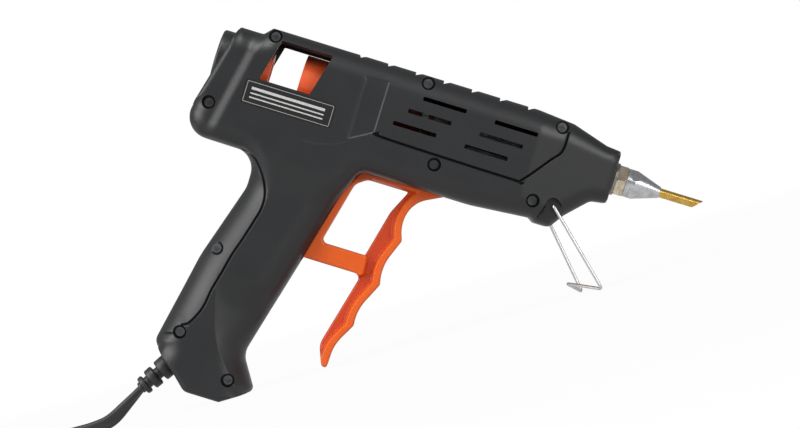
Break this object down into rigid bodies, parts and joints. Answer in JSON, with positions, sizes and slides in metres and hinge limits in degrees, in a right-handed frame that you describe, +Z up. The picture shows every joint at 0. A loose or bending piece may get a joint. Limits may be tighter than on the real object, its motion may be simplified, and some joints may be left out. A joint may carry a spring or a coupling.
{
  "type": "hot glue applicator",
  "caption": "Pistol-grip hot glue applicator with split plastic casing, sliding trigger, lever-driven stick feed, heated melt chamber, needle nozzle, wire stand and mains cord.",
  "frame": {"origin": "on the floor under the middle of the tool's own box, the cord left out", "axes": "+X forward, the way the nozzle points, +Z up, the casing's split plane is y = 0"},
  "size_m": [0.4548, 0.0579, 0.1602],
  "materials": {
    "casing": "satin moulded plastic",
    "trigger": "smooth orange plastic",
    "carriage": "smooth orange-red plastic",
    "steel": "bright zinc plate",
    "wire": "drawn plated wire",
    "label": "printed film",
    "chamber": "cast and turned",
    "nozzle": "turned and polished",
    "brass": "drawn tube",
    "contact": "rolled strip",
    "silicone": "moulded silicone",
    "ceramic": "pressed ceramic",
    "lead": "silicone sheathed",
    "rubber": "soft moulded rubber",
    "plug": "moulded plug"
  },
  "bodies": {
    "body": {"right_casing": "casing", "left_casing": "casing", "casing_screws": "steel", "rating_label": "label", "inlet_collar": "casing", "lever_pin": "steel", "inlet_sleeve": "silicone", "sleeve_clip": "steel", "melt_chamber": "chamber", "heater_plate": "ceramic", "heater_contacts": "contact", "heater_insulator": "ceramic", "lead_crimps": "contact", "heater_leads": "lead", "nozzle_washer": "steel", "nozzle_nut": "brass", "nozzle_cone": "nozzle", "needle_tube": "brass", "strain_relief": "rubber", "cord_tail": "rubber", "cord_clamp": "casing", "clamp_screws": "steel", "cord": "rubber", "cord_coil": "rubber", "cord_end": "rubber", "cord_tie": "rubber", "plug_body": "plug", "plug_blades": "brass"},
    "trigger": {"trigger": "trigger", "trigger_pin": "steel", "trigger_spring": "steel"},
    "lever": {"feed_lever": "trigger"},
    "carriage": {"feed_carriage": "carriage", "grip_washer": "steel"},
    "stand": {"wire_stand": "wire"}
  },
  "joints": [
    {"name": "trigger_slide", "type": "slide", "parent": "body", "child": "trigger", "axis": [-0.8368, 0, 0.5476], "range_m": [0, 0.014], "stiffness_N_per_m": 400, "springref_m": -0.015, "deforming": ["trigger_spring"]},
    {"name": "lever_pivot", "type": "hinge", "parent": "body", "child": "lever", "pos_m": [-0.03326, 0, 0.09976], "axis": [0, 1, 0], "range_deg": [0, 53.13]},
    {"name": "carriage_slide", "type": "slide", "parent": "body", "child": "carriage", "axis": [0.8368, 0, -0.5476], "range_m": [0, 0.01]},
    {"name": "stand_pivot", "type": "hinge", "parent": "body", "child": "stand", "pos_m": [0.06696, 0, 0.0429], "axis": [0, 1, 0], "range_deg": [0, 60]}
  ],
  "couplings": [
    {"joint": "lever_pivot", "follows": "trigger_slide", "rad_per_m": 66.235},
    {"joint": "carriage_slide", "follows": "trigger_slide", "ratio": 0.71428}
  ]
}
